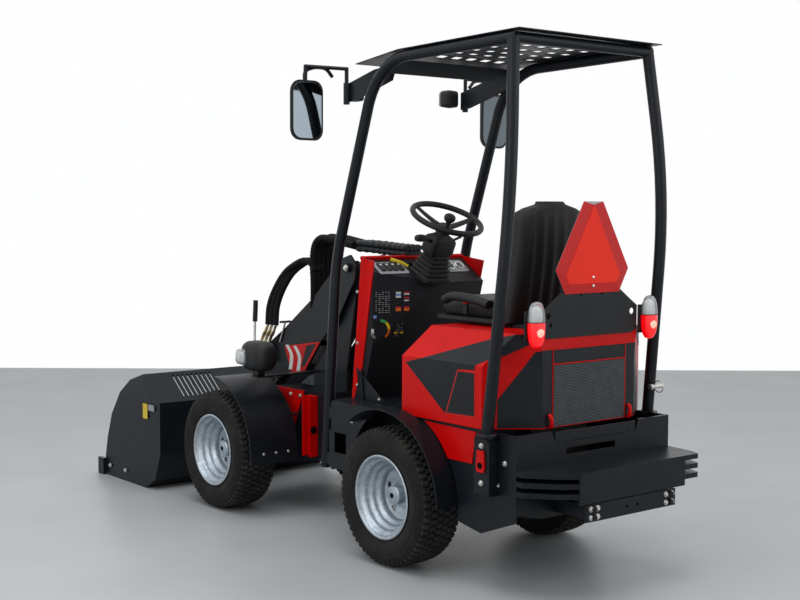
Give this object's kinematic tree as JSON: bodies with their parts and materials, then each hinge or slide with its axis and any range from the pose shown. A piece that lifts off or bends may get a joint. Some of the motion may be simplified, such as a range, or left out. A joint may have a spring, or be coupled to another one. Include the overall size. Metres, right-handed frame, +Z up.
{
  "type": "mini wheel loader",
  "caption": "Articulated mini wheel loader with turf tyres, an open posted canopy, a rear engine under the seat and a bucket on a lifting arm.",
  "frame": {"origin": "middle of the plan, on the ground", "axes": "+X forward to the bucket, +Y left, +Z up"},
  "size_m": [3.415, 1.272, 2.157],
  "materials": {
    "paint_dark": "satin",
    "paint_red": "gloss",
    "tyre": "matt",
    "zinc": "satin",
    "chrome_rod": "polished",
    "black_plastic": "matt",
    "console_black": "satin",
    "seat_cover": "matt",
    "lens_red": "gloss",
    "sign_red": "gloss",
    "brass": "satin",
    "engine_iron": "matt",
    "rubber": "matt"
  },
  "bodies": {
    "rear_frame": {"rear_axle": "paint_dark", "rear_chassis": "paint_dark", "foot_deck": "paint_dark", "side_panels": "paint_red", "rear_fenders": "paint_dark", "dash_tub": "paint_red", "console": "console_black", "steering_column": "rubber", "canopy_frame": "paint_dark", "canopy_roof": "paint_dark", "mirrors": "black_plastic", "work_lamps": "black_plastic", "engine_block": "engine_iron", "rear_weights": "paint_dark", "hitch_bar": "paint_dark"},
    "engine_hood": {"hood_shell": "paint_red", "grille": "black_plastic", "seat_base": "black_plastic", "seat_cushion": "seat_cover", "seat_back": "seat_cover", "lamp_plate": "paint_dark", "rear_lamps": "lens_red", "smv_triangle": "sign_red"},
    "steering": {"steering_wheel": "black_plastic"},
    "wheel_rear_left": {"tyre_rear_left": "tyre", "rim_rear_left": "zinc"},
    "wheel_rear_right": {"tyre_rear_right": "tyre", "rim_rear_right": "zinc"},
    "wheel_front_left": {"tyre_front_left": "tyre", "rim_front_left": "zinc"},
    "wheel_front_right": {"tyre_front_right": "tyre", "rim_front_right": "zinc"},
    "front_frame": {"front_chassis": "paint_dark", "front_gussets": "paint_red", "front_axle": "paint_dark", "front_fenders": "paint_dark", "headlamps": "black_plastic", "pivot_hoses": "rubber"},
    "loader_arm": {"boom_arm": "paint_dark", "coupler_block": "brass", "arm_hoses": "rubber"},
    "tool_carrier": {"quick_hitch": "paint_dark", "bucket": "paint_dark"},
    "lift_tube": {"lift_barrel": "paint_dark"},
    "lift_piston": {"lift_rod": "chrome_rod"},
    "tilt_tube": {"tilt_barrel": "paint_dark"},
    "tilt_piston": {"tilt_rod": "chrome_rod"},
    "steer_tube": {"steer_barrel": "paint_dark"},
    "steer_piston": {"steer_rod": "chrome_rod"}
  },
  "joints": [
    {"name": "spin_rear_left", "type": "hinge", "parent": "rear_frame", "child": "wheel_rear_left", "pos_m": [-0.8025, 0.435, 0.292], "axis": [0, 1, 0], "continuous": true},
    {"name": "spin_rear_right", "type": "hinge", "parent": "rear_frame", "child": "wheel_rear_right", "pos_m": [-0.8025, -0.435, 0.292], "axis": [0, 1, 0], "continuous": true},
    {"name": "spin_front_left", "type": "hinge", "parent": "front_frame", "child": "wheel_front_left", "pos_m": [0.5525, 0.435, 0.292], "axis": [0, 1, 0], "continuous": true},
    {"name": "spin_front_right", "type": "hinge", "parent": "front_frame", "child": "wheel_front_right", "pos_m": [0.5525, -0.435, 0.292], "axis": [0, 1, 0], "continuous": true},
    {"name": "steer_wheel_turn", "type": "hinge", "parent": "rear_frame", "child": "steering", "pos_m": [-0.4725, 0, 1.177], "axis": [-0.4195, 0, 0.9078], "continuous": true},
    {"name": "hood_lift", "type": "hinge", "parent": "rear_frame", "child": "engine_hood", "pos_m": [-0.8605, 0, 0.655], "axis": [0, 1, 0], "range_deg": [0, 20]},
    {"name": "articulation", "type": "hinge", "parent": "rear_frame", "child": "front_frame", "pos_m": [-0.0625, 0, 0.43], "axis": [0, 0, 1], "range_deg": [-40, 40], "deforming": ["pivot_hoses"]},
    {"name": "arm_lift", "type": "hinge", "parent": "front_frame", "child": "loader_arm", "pos_m": [-0.0025, 0, 1.2], "axis": [0, -1, 0], "range_deg": [0, 85], "deforming": ["arm_hoses"]},
    {"name": "bucket_tilt", "type": "hinge", "parent": "loader_arm", "child": "tool_carrier", "pos_m": [0.9375, 0, 0.235], "axis": [0, 1, 0], "range_deg": [-30, 85]},
    {"name": "lift_tube_swing", "type": "hinge", "parent": "front_frame", "child": "lift_tube", "pos_m": [0.0935, 0, 0.37], "axis": [0, -1, 0], "range_deg": [-0.21, 2.14]},
    {"name": "lift_extend", "type": "slide", "parent": "lift_tube", "child": "lift_piston", "axis": [0.2352, 0, 0.9719], "range_m": [-0.0001, 0.46646]},
    {"name": "tilt_tube_swing", "type": "hinge", "parent": "loader_arm", "child": "tilt_tube", "pos_m": [0.4875, 0, 0.79], "axis": [0, 1, 0], "range_deg": [-3.16, 1.25]},
    {"name": "tilt_extend", "type": "slide", "parent": "tilt_tube", "child": "tilt_piston", "axis": [0.747, 0, -0.6649], "range_m": [-0.06335, 0.17931]},
    {"name": "steer_tube_swing", "type": "hinge", "parent": "rear_frame", "child": "steer_tube", "pos_m": [-0.2275, -0.135, 0.43], "axis": [0, 0, 1], "range_deg": [-23.75, 23.75]},
    {"name": "steer_extend", "type": "slide", "parent": "steer_tube", "child": "steer_piston", "axis": [0.9999, 0.0127, 0], "range_m": [-0.09293, 0.09293]}
  ],
  "couplings": [
    {"joint": "lift_tube_swing", "follows": "arm_lift", "ratio": 0.022331},
    {"joint": "lift_extend", "follows": "arm_lift", "m_per_rad": 0.30819},
    {"joint": "tilt_tube_swing", "follows": "bucket_tilt", "ratio": -0.034114},
    {"joint": "tilt_extend", "follows": "bucket_tilt", "m_per_rad": 0.11843},
    {"joint": "steer_tube_swing", "follows": "articulation", "ratio": 0.5771},
    {"joint": "steer_extend", "follows": "articulation", "m_per_rad": 0.13036}
  ]
}
